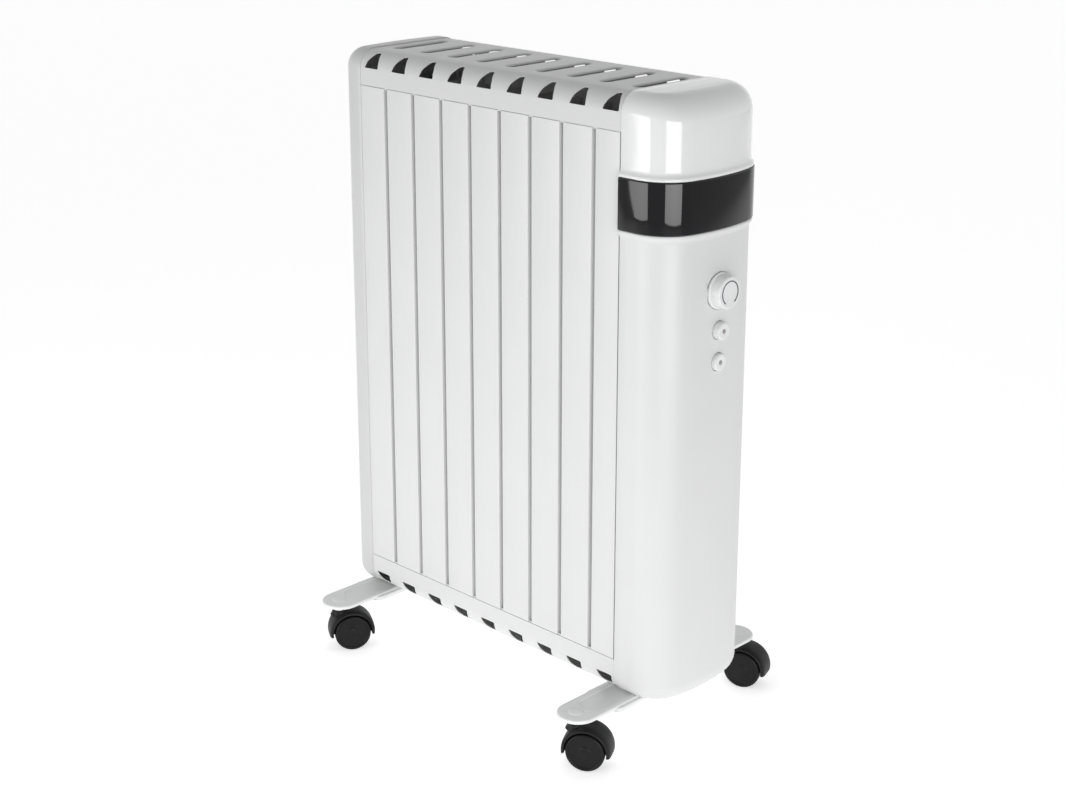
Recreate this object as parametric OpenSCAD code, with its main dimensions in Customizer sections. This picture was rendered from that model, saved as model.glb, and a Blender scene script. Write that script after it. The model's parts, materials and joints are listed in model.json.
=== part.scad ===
// Oil filled radiator heater: nine flat-fronted oil fins in a vented white casing,
// a rounded control housing at the right-hand end and two pressed feet on swivel casters.
// Millimetres. +Z is up, the floor is z = 0, the slatted front faces -Y, the control end is at +X.

/* [Radiator] */
// Number of oil fins, each showing one slat
fin_count = 9; // [7:1:9]
// Distance from one slat to the next
pitch = 40; // [38:1:44]
// Width of the dark groove between two slats
groove = 3; // [2:0.5:5]
// Depth over the front and rear slats
core_depth = 132.6; // [128:0.2:150]
// Height of the slats' lower edge above the floor
slat_bottom = 89.5; // [88:0.5:92]
// Visible height of the slats
slat_height = 505; // [480:5:560]
// Distance from a slat's end to the flat face of the top or bottom panel
panel_rise = 35; // [34:0.5:36]
// Edge radius of the top and bottom panels
panel_radius = 19; // [16:0.5:22]

/* [Vents] */
// Length of a slot in the top panel
slot_length = 69; // [50:1:75]
// Width of a slot in the top panel
slot_width = 10; // [6:0.5:12]
// Width of a fin-shaped vent at its base
vent_width = 20.2; // [14:0.2:22]
// Height of a fin-shaped vent
vent_height = 15; // [10:0.5:15.5]

/* [Casing ends] */
// Length of the left end cover
left_cover_length = 34.5; // [30:0.5:40]
// Radius of the left end cover's front and rear corners, seen from above
left_cover_radius = 22; // [21:0.5:26]
// Length of the control housing at its middle
control_length = 60.3; // [58:0.1:66]
// Radius of the control housing's broad end face, seen from above
end_radius = 190; // [170:5:260]
// Radius of the control housing's front and rear corners, seen from above
end_corner = 38; // [34:1:42]
// How far the casing ends stand out from the slats and panels
proud = 1; // [0.5:0.1:1.5]

/* [Black band] */
// Height of the band's lower edge above the floor
band_bottom = 508.5; // [495:0.5:515]
// Height of the band
band_height = 47.5; // [35:0.5:50]
// How far the band stands out from the housing
band_proud = 3.4; // [2:0.2:4]

/* [Controls] */
// Height of the thermostat knob's axis
knob_z = 451; // [448:1:455]
// Radius of the knob at its base
knob_r = 17; // [15:0.5:17.5]
// How far the knob stands out from the housing
knob_out = 12.5; // [10:0.5:14]
// Height of the upper push button
upper_button_z = 414; // [412:1:416]
// Height of the lower push button
lower_button_z = 384; // [382:1:386]
// Radius of a push button
button_r = 8.2; // [7:0.1:8.4]
// How far the upper button stands out
upper_button_out = 7; // [5:0.5:8]
// How far the lower button stands out
lower_button_out = 4; // [3.5:0.5:8]

/* [Feet] */
// Width of a foot at its tip
foot_width = 40; // [36:1:42]
// Width of the deeper skirt under the body
foot_root_width = 47; // [44:1:50]
// How far a foot reaches out past the slats
foot_reach = 68.5; // [66:0.5:76]
// Distance from a slat face to a caster's stem
stem_reach = 51.2; // [50:0.1:54]

/* [Casters] */
// Wheel radius
wheel_r = 19; // [18:0.5:19.5]
// Distance from the stem's axis to the wheels' axis
trail = 12; // [10:0.5:14]
// Overall width of a caster over its two wheels
caster_width = 27.6; // [26:0.2:30]
// Swivel angle of the front left caster
front_left_turn = 59; // [0:1:359]
// Swivel angle of the front right caster
front_right_turn = 29; // [0:1:359]
// Swivel angle of the rear right caster
rear_right_turn = 20; // [0:1:359]
// Swivel angle of the rear left caster
rear_left_turn = 200; // [0:1:359]

/* [Hidden] */
$fn = 96;
eps = 0.01;

// Casing walls and gaps
sheet = 0.8;
shell = 2.2;
gap = 0.3;
plate = 1;

// Heights
slat_top = slat_bottom + slat_height;
panel_top = slat_top + panel_rise;
panel_bottom = slat_bottom - panel_rise;
cover_top = panel_top + proud;
cover_bottom = panel_bottom - proud;
band_top = band_bottom + band_height;
casing_height = cover_top - cover_bottom;

// Depths, from the middle plane
core_half = core_depth / 2;
cover_half = core_half + proud;
cover_edge_r = panel_radius + proud;

// Lengths: the slat row starts at row_x, and x = 0 is the middle of the whole length
seam_inset = 5;
row_length = fin_count * pitch;
left_end_local = seam_inset - left_cover_length;
apex_local = row_length - seam_inset + control_length;
row_x = -(left_end_local + apex_local + knob_out) / 2;
seam_left = row_x + seam_inset;
seam_right = row_x + row_length - seam_inset;
left_end = row_x + left_end_local;
apex = row_x + apex_local;

// Control housing
big_x = apex - end_radius;
corner_y = cover_half - end_corner;
corner_x = big_x + sqrt(pow(end_radius - end_corner, 2) - pow(corner_y, 2));
top_end_r = 30;
bottom_end_r = 22;
diagonal_end_r = 24;
corner_reach = (corner_x + corner_y) * sqrt(0.5) + end_corner + 0.3;
lip_height = 4.5;
lip_proud = 1.8;
neck_in = shell + gap;
neck_high = band_top + 12;
seat_depth = 1.2;
seat_x = apex - seat_depth;
seat_r = knob_r + 1.5;
button_bore_r = button_r + 0.4;

// Inside the control housing
plate_right_x = seam_right + 15;
plate_left_x = seam_left - 15;
bracket_x = plate_right_x + 16;
bracket_face = bracket_x + plate;
spindle_r = 3;
plunger_r = 3;
plunger_end = apex - 17;
knob_back = seat_x + gap;
knob_length = apex + knob_out - knob_back;
mark_r = 10.8;
mark_width = 1.1;
mark_depth = 0.5;
lens_r = 2;
lens_depth = 0.6;
gland_x = seam_right + 11;
gland_z = 100;
gland_flange_r = 9.5;
gland_thread_r = 7;
gland_bore_r = 3.8;

// Panels
vent_base = panel_top - panel_radius + 2;
top_collar = 3;
bottom_collar = 0.5;

// Oil core
gallery_r = 23;
gallery_bore_r = 22.2;
gallery_low_z = slat_bottom + 35;
gallery_high_z = slat_top - 35;
channel_r = 8;
channel_bore_r = 7.3;
cross_r = 6.8;
cross_bore_r = 6.1;
channel_end = 9;
channel_y = [-34, 0, 34];
slat_sheet = 0.6;
web_sheet = 0.8;
lap_depth = 4;
lap_overlap = 2;

// Lower gallery's heater
element_y = 9;
element_r = 4;
flange_x = row_x + row_length;
flange_r = 33;
flange_h = 4;
bolt_circle_r = 28;

// End plates
plate_half = 60;
plate_corner_r = 17;
plate_floor_half = 46;
plate_low = cover_bottom + shell + 0.4;
plate_high = cover_top - 34;

// Feet and casters
foot_top = cover_bottom;
foot_sheet = 1.6;
foot_rim = 3.5;
foot_root_depth = 6;
foot_x = [row_x + 8.4, row_x + row_length - 6.8];
foot_half_length = core_half + foot_reach;
stem_y = core_half + stem_reach;
boss_bottom = foot_top - 8;
stem_r = 3.5;
stem_bottom = 24.5;
collar_r = 6.5;
collar_h = 1.6;
hood_top = boss_bottom - 0.2 - collar_h - gap;
hood_r = 24.2;
hood_lip_r = 23.2;
hood_bore_r = 21;
hood_half = caster_width / 2 - 0.8;
hood_tip_z = 15.5;
web_half = 5;
axle_r = 2.5;
wheel_inner = web_half + 0.5;
running = 0.05;

// Screws
screw_r = 2;
screw_hole_r = 2.25;
screw_head_r = 3.8;
foot_screw_dx = 10;
foot_screw_y = 40;
rear_screw_z = [150, 480];
rear_screw_dx = 5;
rear_screw_x = [plate_left_x + rear_screw_dx, plate_right_x - rear_screw_dx];

caster_names = ["front_left", "front_right", "rear_left", "rear_right"];
caster_places = [
    [foot_x[0], -stem_y, front_left_turn],
    [foot_x[1], -stem_y, front_right_turn],
    [foot_x[0], stem_y, rear_left_turn],
    [foot_x[1], stem_y, rear_right_turn]
];

// Colours
white = [0.9, 0.9, 0.89];
cool_white = [0.86, 0.86, 0.86];
gloss_black = [0.02, 0.02, 0.02];
matte_black = [0.06, 0.06, 0.06];
steel = [0.62, 0.63, 0.65];
brass = [0.8, 0.66, 0.35];
dark_grey = [0.25, 0.25, 0.26];

// ---------- shared shapes ----------

// Rounded rectangle from two corners, as exact arcs
module rounded_rect(low, high, r) {
    translate([low[0] + r, low[1]])
        square([high[0] - low[0] - 2 * r, high[1] - low[1]]);
    translate([low[0], low[1] + r])
        square([high[0] - low[0], high[1] - low[1] - 2 * r]);
    for (x = [low[0] + r, high[0] - r])
        for (y = [low[1] + r, high[1] - r])
            translate([x, y])
                circle(r);
}

// Long outline with round ends, centred, lying along Y
module stadium(width, half_length) {
    end_y = half_length - width / 2;
    translate([-width / 2, -end_y])
        square([width, 2 * end_y]);
    for (side = [-1, 1])
        translate([0, side * end_y])
            circle(width / 2);
}

// Places a Y-Z outline, drawn as 2D (y, z), along X from x0 to x1
module along_x(x0, x1) {
    translate([x0, 0, 0])
        rotate([90, 0, 90])
            linear_extrude(x1 - x0)
                children();
}

// Places an X-Z outline, drawn as 2D (x, z), along Y from y0 to y1
module along_y(y0, y1) {
    translate([0, y1, 0])
        rotate([90, 0, 0])
            linear_extrude(y1 - y0)
                children();
}

// A rod along +X that starts at the given point
module rod_x(p, r, length) {
    translate(p)
        rotate([0, 90, 0])
            cylinder(r = r, h = length);
}

// A rod along +Y that starts at the given point
module rod_y(p, r, length) {
    translate(p)
        rotate([-90, 0, 0])
            cylinder(r = r, h = length);
}

// Box from its low corner to its high corner
module box(low, high) {
    translate(low)
        cube(high - low);
}

// A round wire through a list of points, with ball-shaped bends
module wire(points, r) {
    for (i = [0:len(points) - 2]) {
        step = points[i + 1] - points[i];
        reach = norm(step);
        turn = acos(step[2] / reach);
        heading = atan2(step[1], step[0]);
        translate(points[i])
            rotate([0, turn, heading])
                cylinder(r = r, h = reach);
        translate(points[i + 1])
            sphere(r + 0.3);
    }
}

// ---------- casing ----------

// Outline of the casing ends, seen along X
module end_outline(inset) {
    rounded_rect(
        [-cover_half + inset, cover_bottom + inset],
        [cover_half - inset, cover_top - inset],
        cover_edge_r - inset
    );
}

// Outline of the control housing, seen from above
module control_plan(inset) {
    half = cover_half - inset;
    spread = 1.35;
    intersection() {
        union() {
            intersection() {
                translate([big_x, 0])
                    circle(end_radius - inset, $fn = 360);
                polygon([
                    [big_x, 0],
                    [big_x + spread * (corner_x - big_x), spread * corner_y],
                    [big_x + spread * (corner_x - big_x), -spread * corner_y]
                ]);
            }
            for (side = [-1, 1])
                translate([corner_x, side * corner_y])
                    circle(end_corner - inset);
            translate([seam_right, -half])
                square([corner_x - seam_right, 2 * half]);
        }
        translate([seam_right, -half - eps])
            square([control_length + band_proud, 2 * half + 2 * eps]);
    }
}

// Upright section of a casing end, drawn as 2D (radius, z), with rounded outer corners
module turned_section(inner, outer, inset) {
    low = cover_bottom + inset;
    high = cover_top - inset;
    r = cover_edge_r - inset;
    translate([inner, low])
        square([outer - r - inner, high - low]);
    translate([outer - r, low + r])
        square([r, high - low - 2 * r]);
    for (end = [0, 1])
        intersection() {
            translate([outer - r, end > 0 ? high - r : low + r])
                circle(r);
            translate([outer - r, end > 0 ? high - r : low])
                square(r);
        }
}

// Upright outline, drawn as 2D (distance, z), that ends at a rounded top and bottom edge
module end_profile(start, end, top_r, bottom_r) {
    translate([start, cover_bottom])
        square([end - bottom_r - start, casing_height]);
    translate([start, cover_bottom + bottom_r])
        square([end - start, casing_height - bottom_r - top_r]);
    translate([end - top_r, cover_top - top_r])
        circle(top_r);
    translate([end - bottom_r, cover_bottom + bottom_r])
        circle(bottom_r);
}

// Everything behind an upright face that looks along the given direction, its edges rounded
module behind_face(turn, reach, top_r, bottom_r) {
    rotate([0, 0, turn])
        along_y(-260, 260)
            end_profile(0, reach, top_r, bottom_r);
}

// Everything behind both upright corners of the control end
module behind_corners(reach) {
    intersection() {
        behind_face(45, reach, diagonal_end_r, diagonal_end_r);
        behind_face(-45, reach, diagonal_end_r, diagonal_end_r);
    }
}

// Solid of the whole control end
module control_outer() {
    intersection() {
        translate([0, 0, cover_bottom])
            linear_extrude(casing_height)
                control_plan(0);
        behind_face(0, apex, top_end_r, bottom_end_r);
        behind_corners(corner_reach);
        along_x(seam_right - eps, apex + eps)
            end_outline(0);
    }
}

// Hollow of the control end, with plainer edges than the outside
module control_hollow() {
    intersection() {
        translate([-eps, 0, cover_bottom + shell])
            linear_extrude(casing_height - 2 * shell)
                control_plan(shell);
        behind_face(0, apex - shell, top_end_r, bottom_end_r);
        behind_corners(corner_reach - shell);
        along_x(seam_right - 1, apex + eps)
            end_outline(shell);
    }
}

// A band of the control end's plan between two insets and two heights
module control_ring(outer_inset, inner_inset, low, high) {
    translate([0, 0, low])
        linear_extrude(high - low)
            difference() {
                control_plan(outer_inset);
                translate([-eps, 0])
                    control_plan(inner_inset);
                translate([seam_right - 1, -cover_half + inner_inset])
                    square([4, 2 * (cover_half - inner_inset)]);
            }
}

// The control shell between two heights
module control_shell(low, high) {
    intersection() {
        difference() {
            control_outer();
            control_hollow();
            box(
                [seam_right - 1, -cover_half + shell, cover_bottom + shell],
                [seam_right + 4, cover_half - shell, cover_top - shell]
            );
        }
        box([seam_right - 1, -cover_half - 1, low], [apex + 1, cover_half + 1, high]);
    }
}

module control_housing() {
    color(white)
        difference() {
            union() {
                control_shell(cover_bottom, band_bottom - gap);
                control_ring(-lip_proud, shell / 2, band_bottom - lip_height, band_bottom - gap);
                control_ring(shell / 2, neck_in + shell, band_bottom - gap - shell, band_bottom - gap);
                control_ring(neck_in, neck_in + shell, band_bottom - gap - 1.5 * shell, neck_high);
                rod_x([apex - shell - 2, 0, knob_z], seat_r + 1, shell);
                for (z = [upper_button_z, lower_button_z])
                    rod_x([apex - shell - 1, 0, z], button_bore_r + 2, shell);
            }
            rod_x([seat_x, 0, knob_z], seat_r, knob_out);
            rod_x([apex - 10, 0, knob_z], spindle_r + 3, 20);
            for (z = [upper_button_z, lower_button_z]) {
                rod_x([apex - 10, 0, z], button_bore_r, 20);
                rod_x([apex - 0.7, 0, z], button_bore_r + 1.6, 10);
            }
            rod_y([gland_x, cover_half - shell - 1, gland_z], gland_thread_r + 0.2, shell + 2);
            for (side = [-1, 1])
                translate([foot_x[1] + foot_screw_dx, side * foot_screw_y, cover_bottom - 1])
                    cylinder(r = screw_hole_r, h = shell + 2);
            for (z = rear_screw_z)
                rod_y([rear_screw_x[1], cover_half - shell - 1, z], screw_hole_r, shell + 2);
        }
}

module control_cap() {
    color(white) {
        control_shell(band_top + gap, cover_top + 1);
        control_ring(-lip_proud, shell / 2, band_top + gap, band_top + lip_height);
    }
}

module control_band() {
    flange = 1.6;
    color(gloss_black) {
        control_ring(-band_proud, -band_proud + 2, band_bottom, band_top);
        control_ring(-band_proud, neck_in - gap, band_bottom, band_bottom + flange);
        control_ring(-band_proud, neck_in - gap, band_top - flange, band_top);
    }
}

// Solid of the left end cover with all its edges rounded, shrunk by inset
module left_solid(inset) {
    bend_x = left_end + left_cover_radius;
    bend_y = cover_half - left_cover_radius;
    along_x(bend_x, seam_left + inset)
        end_outline(inset);
    for (side = [-1, 1])
        translate([bend_x, side * bend_y, 0])
            rotate([0, 0, side > 0 ? 90 : 180])
                rotate_extrude(angle = 90)
                    turned_section(0, left_cover_radius - inset, inset);
    along_y(-bend_y, bend_y)
        mirror([1, 0])
            translate([-bend_x, 0])
                turned_section(0, left_cover_radius - inset, inset);
}

module end_cover_left() {
    color(white)
        difference() {
            left_solid(0);
            left_solid(shell);
            for (side = [-1, 1])
                translate([foot_x[0] - foot_screw_dx, side * foot_screw_y, cover_bottom - 1])
                    cylinder(r = screw_hole_r, h = shell + 2);
            for (z = rear_screw_z)
                rod_y([rear_screw_x[0], cover_half - shell - 1, z], screw_hole_r, shell + 2);
        }
}

// Fin-shaped vent, drawn as 2D (x, z) with its base on z = 0 and its blunt tip leaning to +X
module vent_outline() {
    half = vent_width / 2;
    base_left = [-half, 0];
    base_right = [half, 0];
    tip_left = [-0.1 * half, vent_height];
    tip_right = [0.52 * half, vent_height];
    bow_r = 2 * vent_width;
    chord = tip_left - base_left;
    half_chord = norm(chord) / 2;
    across = [chord[1], -chord[0]] / norm(chord);
    bow_centre = (base_left + tip_left) / 2 + across * sqrt(bow_r * bow_r - half_chord * half_chord);
    intersection() {
        translate(bow_centre)
            circle(bow_r);
        polygon([base_left - [20, 0], tip_left - [30, 0], tip_right, base_right]);
    }
}

// The sheet metal cross-section of a panel, drawn as 2D (y, z), open downwards
module panel_outline() {
    difference() {
        rounded_rect([-core_half, panel_top - 80], [core_half, panel_top], panel_radius);
        rounded_rect(
            [-core_half + sheet, panel_top - 90],
            [core_half - sheet, panel_top - sheet],
            panel_radius - sheet
        );
        translate([-core_half - 1, panel_top - 100])
            square([core_depth + 2, slat_top + 0.6 - panel_top + 100]);
    }
}

// A vented panel: slots with turned-down edges in its flat face, fin-shaped vents round its
// front and rear edges
module panel(collar) {
    difference() {
        union() {
            along_x(seam_left + gap, seam_right - gap)
                panel_outline();
            for (i = [0:fin_count - 1])
                translate([row_x + (i + 0.5) * pitch, 0, panel_top - sheet - collar])
                    linear_extrude(collar + sheet / 2)
                        stadium(slot_width + 2 * sheet, slot_length / 2 + sheet);
        }
        for (i = [0:fin_count - 1]) {
            x = row_x + (i + 0.5) * pitch;
            translate([x, 0, panel_top - sheet - collar - 1])
                linear_extrude(collar + 3)
                    stadium(slot_width, slot_length / 2);
            for (side = [0, 1])
                translate([x, side * (core_half - panel_radius), vent_base])
                    along_y(-core_half - 1 + side * core_half, -core_half + panel_radius + side * core_half)
                        vent_outline();
        }
    }
}

module top_grille() {
    color(cool_white)
        panel(top_collar);
}

module bottom_grille() {
    color(cool_white)
        difference() {
            translate([0, 0, panel_top + panel_bottom])
                mirror([0, 0, 1])
                    panel(bottom_collar);
            for (x = [foot_x[0] + foot_screw_dx, foot_x[1] - foot_screw_dx])
                for (side = [-1, 1])
                    translate([x, side * foot_screw_y, panel_bottom - 1])
                        cylinder(r = screw_hole_r, h = sheet + 2);
        }
}

// ---------- oil core ----------

// A slat from x0 to x1 with a stepped lap that closes the groove behind the next slat
module slat(x0, x1, side, lapped) {
    translate([0, side * core_half, slat_bottom])
        mirror([0, side > 0 ? 1 : 0, 0]) {
            translate([x0, 0, 0])
                cube([x1 - x0, slat_sheet, slat_height]);
            if (lapped) {
                translate([x1 - slat_sheet, 0, 0])
                    cube([slat_sheet, lap_depth + slat_sheet, slat_height]);
                translate([x1 - slat_sheet, lap_depth, 0])
                    cube([groove + lap_overlap, slat_sheet, slat_height]);
            }
        }
}

// One oil fin: front and rear slat, web, two galleries and three channels
module fin(i) {
    x = row_x + (i - 0.5) * pitch;
    slat_low = max(x - pitch / 2 + groove / 2, seam_left + gap);
    slat_high = min(x + pitch / 2 - groove / 2, seam_right - gap);
    web_low = slat_bottom + 6;
    web_high = slat_top - 6;
    channel_length = gallery_high_z - gallery_low_z + 2 * channel_end;
    color(white)
        difference() {
            union() {
                for (side = [-1, 1])
                    slat(slat_low, slat_high, side, i < fin_count);
                box(
                    [x - web_sheet / 2, -core_half + slat_sheet / 2, web_low],
                    [x + web_sheet / 2, core_half - slat_sheet / 2, web_high]
                );
                for (z = [gallery_low_z, gallery_high_z])
                    rod_x([x - pitch / 2, 0, z], gallery_r, pitch);
                for (y = channel_y)
                    translate([x, y, gallery_low_z - channel_end])
                        cylinder(r = channel_r, h = channel_length);
                for (z = [gallery_low_z, gallery_high_z])
                    rod_y([x, channel_y[0], z], cross_r, channel_y[2] - channel_y[0]);
            }
            for (z = [gallery_low_z, gallery_high_z]) {
                rod_x([x - pitch / 2 - 1, 0, z], gallery_bore_r, pitch + 2);
                rod_y([x, channel_y[0], z], cross_bore_r, channel_y[2] - channel_y[0]);
            }
            for (y = channel_y)
                translate([x, y, gallery_low_z - channel_end + web_sheet])
                    cylinder(r = channel_bore_r, h = channel_length - 2 * web_sheet);
        }
}

// A cap that closes a gallery; side is -1 at the left end and 1 at the right end
module gallery_plug(x, z, side) {
    translate([x, 0, z])
        rotate([0, side * 90, 0]) {
            cylinder(r = gallery_r, h = 4);
            translate([0, 0, -8])
                cylinder(r = gallery_bore_r - 0.1, h = 8 + eps);
            translate([0, 0, 4 - eps])
                cylinder(r = 9, h = 4, $fn = 6);
        }
}

module gallery_plugs() {
    color(steel) {
        gallery_plug(row_x, gallery_low_z, -1);
        gallery_plug(row_x, gallery_high_z, -1);
        gallery_plug(row_x + row_length, gallery_high_z, 1);
    }
}

module heater_flange() {
    color(steel)
        difference() {
            union() {
                rod_x([flange_x, 0, gallery_low_z], flange_r, flange_h);
                rod_x([flange_x - 8, 0, gallery_low_z], gallery_bore_r - 0.1, 8 + eps);
            }
            for (side = [-1, 1])
                rod_x([flange_x - 20, side * element_y, gallery_low_z], element_r + running, 40);
            for (a = [45:90:315])
                translate([flange_x - 1, bolt_circle_r * cos(a), gallery_low_z + bolt_circle_r * sin(a)])
                    rotate([0, 90, 0])
                        cylinder(r = screw_hole_r, h = flange_h + 2);
        }
}

module flange_bolts() {
    color(steel)
        for (a = [45:90:315])
            translate([flange_x, bolt_circle_r * cos(a), gallery_low_z + bolt_circle_r * sin(a)])
                rotate([0, 90, 0]) {
                    translate([0, 0, -6])
                        cylinder(r = screw_r, h = 6 + flange_h + eps);
                    translate([0, 0, flange_h])
                        cylinder(r = 4, h = 3, $fn = 6);
                    translate([0, 0, -4])
                        cylinder(r = 3.8, h = 3.6, $fn = 6);
                }
}

// U-shaped tubular heater lying in the lower gallery
module heating_element() {
    bend_x = row_x + 30;
    leg_end = flange_x + flange_h + 8;
    color(dark_grey) {
        for (side = [-1, 1]) {
            rod_x([bend_x, side * element_y, gallery_low_z], element_r, leg_end - bend_x);
            rod_x([leg_end - eps, side * element_y, gallery_low_z], 1.2, 7);
        }
        translate([bend_x, 0, gallery_low_z])
            rotate([0, 0, 90])
                rotate_extrude(angle = 180)
                    translate([element_y, 0])
                        circle(element_r);
    }
}

// ---------- end plates ----------

// Lug on an end plate that a rear screw goes into
module plate_lug(x, z) {
    difference() {
        box([x - 5.5, plate_half - 8, z - 6], [x + 5.5, cover_half - shell - 0.5, z + 6]);
        rod_y([x, plate_half - 9, z], screw_hole_r, 20);
    }
}

// Upright plate with a floor flange; side is -1 at the left end and 1 at the right end
module end_plate(x, side, foot_mid) {
    reach = 36;
    floor_high = plate_low + plate;
    face_low = side < 0 ? x : x - reach;
    face_high = side < 0 ? x + reach : x + plate;
    difference() {
        union() {
            along_x(x, x + plate)
                rounded_rect([-plate_half, plate_low], [plate_half, plate_high], plate_corner_r);
            box([face_low, -plate_floor_half, plate_low], [face_high, plate_floor_half, floor_high]);
            for (z = rear_screw_z)
                plate_lug(x - side * rear_screw_dx, z);
        }
        for (dx = [-foot_screw_dx, foot_screw_dx])
            for (y = [-foot_screw_y, foot_screw_y])
                translate([foot_mid + dx, y, plate_low - 1])
                    cylinder(r = screw_hole_r, h = plate + 2);
        rod_x([x - 5, 0, gallery_low_z], flange_r + 3, 12);
        rod_x([x - 5, 0, gallery_high_z], gallery_r + 3, 12);
        // notch that the cable gland's nut sits in
        rod_y([gland_x, plate_half - 14, gland_z], gland_flange_r + 2, 20);
    }
}

module end_plate_left() {
    color(steel)
        end_plate(plate_left_x, -1, foot_x[0]);
}

module end_plate_right() {
    color(steel)
        end_plate(plate_right_x, 1, foot_x[1]);
}

// One screw pointing along +Z from the underside of its head
module screw(length) {
    translate([0, 0, -1])
        cylinder(r = screw_r, h = length + 1);
    translate([0, 0, -2.4 - running])
        cylinder(r = screw_head_r, h = 2.4);
}

module casing_screws() {
    head_z = foot_top - foot_sheet - 1;
    color(steel) {
        for (x = foot_x)
            for (dx = [-foot_screw_dx, foot_screw_dx])
                for (y = [-foot_screw_y, foot_screw_y])
                    translate([x + dx, y, head_z])
                        screw(plate_low + plate + 4 - head_z);
        for (x = rear_screw_x)
            for (z = rear_screw_z)
                translate([x, cover_half, z])
                    rotate([90, 0, 0])
                        screw(12);
    }
}

// ---------- feet ----------

module foot(x) {
    root_half = core_half + 18;
    channel_width = 26;
    channel_half = core_half + 40;
    rim_low = foot_top - foot_rim;
    root_low = foot_top - foot_root_depth;
    plate_low_z = foot_top - foot_sheet;
    dimple_r = 18;
    dimple_rise = 1.2;
    color(cool_white)
        translate([x, 0, 0])
            difference() {
                union() {
                    translate([0, 0, rim_low])
                        linear_extrude(foot_rim)
                            stadium(foot_width, foot_half_length);
                    translate([0, 0, root_low])
                        linear_extrude(foot_root_depth - 1)
                            rounded_rect(
                                [-foot_root_width / 2, -root_half],
                                [foot_root_width / 2, root_half],
                                8
                            );
                    for (side = [-1, 1])
                        translate([0, side * stem_y, 0]) {
                            translate([0, 0, boss_bottom])
                                cylinder(r = 7.5, h = 8);
                            intersection() {
                                translate([0, 0, foot_top + dimple_rise - dimple_r])
                                    sphere(dimple_r);
                                translate([0, 0, foot_top - eps])
                                    cylinder(r = 8, h = 4);
                            }
                        }
                }
                // hollow underside of the tips, round the stem bosses
                difference() {
                    translate([0, 0, rim_low - 1])
                        linear_extrude(plate_low_z - rim_low + 1)
                            stadium(foot_width - 2 * foot_sheet, foot_half_length - foot_sheet);
                    for (side = [-1, 1])
                        translate([0, side * stem_y, boss_bottom - 1])
                            cylinder(r = 7.5, h = 12);
                    translate([0, 0, plate_low_z - 1])
                        linear_extrude(2)
                            stadium(channel_width + 2, channel_half + 1);
                }
                // hollow underside of the root
                difference() {
                    translate([0, 0, root_low - 1])
                        linear_extrude(plate_low_z - root_low)
                            rounded_rect(
                                [-foot_root_width / 2 + foot_sheet, -root_half + foot_sheet],
                                [foot_root_width / 2 - foot_sheet, root_half - foot_sheet],
                                6
                            );
                }
                // sunken channel along the top
                translate([0, 0, foot_top - 1])
                    linear_extrude(2)
                        stadium(channel_width, channel_half);
                for (side = [-1, 1])
                    translate([0, side * stem_y, boss_bottom - 1])
                        cylinder(r = stem_r + running, h = foot_top - foot_sheet - boss_bottom + 1);
                for (dx = [-foot_screw_dx, foot_screw_dx])
                    for (y = [-foot_screw_y, foot_screw_y])
                        translate([dx, y, root_low - 1])
                            cylinder(r = screw_hole_r, h = foot_root_depth + 4);
            }
}

module foot_left() {
    foot(foot_x[0]);
}

module foot_right() {
    foot(foot_x[1]);
}

// ---------- casters ----------

// Moves children from a caster's own frame: stem on the Z axis, wheels trailing along +X
module at_caster(i) {
    translate([caster_places[i][0], caster_places[i][1], 0])
        rotate([0, 0, caster_places[i][2]])
            children();
}

module stem(i) {
    color(steel)
        at_caster(i) {
            translate([0, 0, stem_bottom])
                cylinder(r = stem_r, h = foot_top - foot_sheet - 0.4 - stem_bottom);
            translate([0, 0, boss_bottom - 0.2 - collar_h])
                cylinder(r = collar_r, h = collar_h);
        }
}

// A disc across the axle, from y0 to y1 in the caster's frame
module axle_disc(r0, r1, y0, y1) {
    translate([trail, y0, wheel_r])
        rotate([-90, 0, 0])
            cylinder(r1 = r0, r2 = r1, h = y1 - y0);
}

module hood(i) {
    shoulder = hood_half - 4;
    color(matte_black)
        at_caster(i)
            difference() {
                union() {
                    intersection() {
                        union() {
                            axle_disc(hood_r, hood_r, -shoulder, shoulder);
                            axle_disc(hood_r, hood_lip_r, shoulder - eps, hood_half);
                            axle_disc(hood_lip_r, hood_r, -hood_half, -shoulder + eps);
                        }
                        translate([trail - 40, -20, hood_tip_z])
                            cube([80, 40, 40]);
                    }
                    axle_disc(axle_r + 4, axle_r + 4, -web_half, web_half);
                    translate([0, 0, 36])
                        cylinder(r = 7.5, h = hood_top - 36);
                }
                for (side = [-1, 1])
                    if (side > 0)
                        axle_disc(hood_bore_r, hood_bore_r, web_half, hood_half + 2);
                    else
                        axle_disc(hood_bore_r, hood_bore_r, -hood_half - 2, -web_half);
                translate([0, 0, stem_bottom - 0.5])
                    cylinder(r = stem_r + running, h = 40);
                axle_disc(axle_r + 0.02, axle_r + 0.02, -10, 10);
            }
}

module axle(i) {
    reach = caster_width / 2 - 1.6;
    color(steel)
        at_caster(i)
            axle_disc(axle_r, axle_r, -reach, reach);
}

// One wheel; side is -1 or 1 along the axle
module wheel(i, side) {
    outer = caster_width / 2;
    edge = 1.6;
    color(matte_black)
        at_caster(i)
            translate([trail, 0, wheel_r])
                rotate([side * -90, 0, 0])
                    difference() {
                        union() {
                            translate([0, 0, wheel_inner])
                                cylinder(r1 = wheel_r - 0.6, r2 = wheel_r, h = 0.6 + eps);
                            translate([0, 0, wheel_inner + 0.6])
                                cylinder(r = wheel_r, h = outer - wheel_inner - 0.6 - edge);
                            translate([0, 0, outer - edge - eps])
                                cylinder(r1 = wheel_r, r2 = wheel_r - edge, h = edge + eps);
                        }
                        translate([0, 0, wheel_inner - 1])
                            cylinder(r = axle_r + running, h = outer - wheel_inner);
                    }
}

// ---------- controls ----------

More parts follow.
